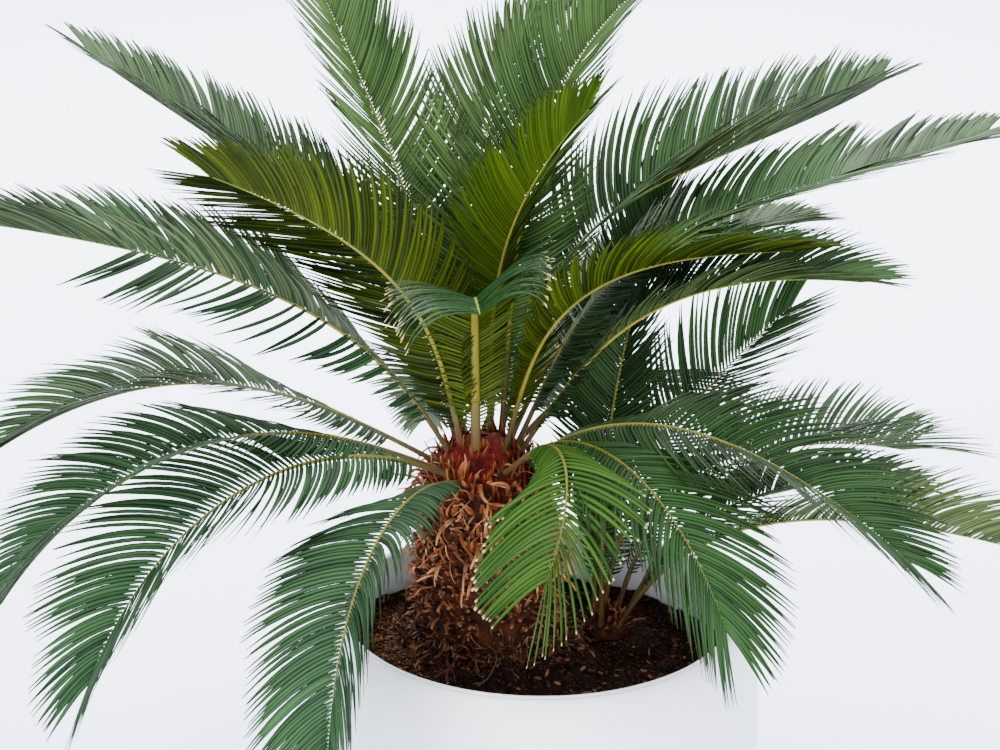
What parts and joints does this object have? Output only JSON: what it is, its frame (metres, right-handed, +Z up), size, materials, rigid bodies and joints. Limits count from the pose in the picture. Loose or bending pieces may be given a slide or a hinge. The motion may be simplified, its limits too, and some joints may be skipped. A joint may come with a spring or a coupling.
{
  "type": "potted sago palm",
  "caption": "Potted sago palm: a squat scaly trunk under a round crown of feather fronds, with a side shoot, in a smooth rounded planter.",
  "frame": {"origin": "centre of the planter's flat underside", "axes": "+Z up, -Y toward the viewer of the picture, +X to the picture's right"},
  "size_m": [1.7956, 1.2945, 1.5089],
  "materials": {
    "planter": "smooth white satin glaze",
    "soil": "dark crumbly potting soil with bark chips",
    "trunk": "dry brown leaf-base scales and fibre",
    "leaf": "waxy dark green leaflets on pale ribs"
  },
  "bodies": {
    "root": {"frond_main_01": "leaf", "frond_main_02": "leaf", "frond_main_03": "leaf", "frond_main_04": "leaf", "frond_main_05": "leaf", "frond_main_06": "leaf", "frond_main_06_end": "leaf", "frond_main_07": "leaf", "frond_main_07_end": "leaf", "frond_main_08": "leaf", "frond_main_08_end": "leaf", "frond_main_09": "leaf", "frond_main_09_end": "leaf", "frond_main_10": "leaf", "frond_main_11": "leaf", "frond_main_12": "leaf", "frond_main_13": "leaf", "frond_main_14": "leaf", "frond_main_15": "leaf", "frond_main_16": "leaf", "frond_main_17": "leaf", "frond_main_18": "leaf", "frond_main_18_end": "leaf", "frond_main_19": "leaf", "frond_main_19_end": "leaf", "frond_main_20": "leaf", "frond_main_21": "leaf", "frond_main_21_end": "leaf", "frond_main_22": "leaf", "frond_main_23": "leaf", "frond_main_23_end": "leaf", "frond_main_24": "leaf", "frond_main_25": "leaf", "frond_main_26": "leaf", "frond_shoot_27": "leaf", "frond_shoot_28": "leaf", "frond_shoot_28_end": "leaf", "frond_shoot_29": "leaf", "frond_shoot_30": "leaf", "frond_shoot_31": "leaf", "frond_shoot_32": "leaf", "planter": "planter", "shoot_stem": "trunk", "soil": "soil", "trunk": "trunk"}
  },
  "joints": []
}
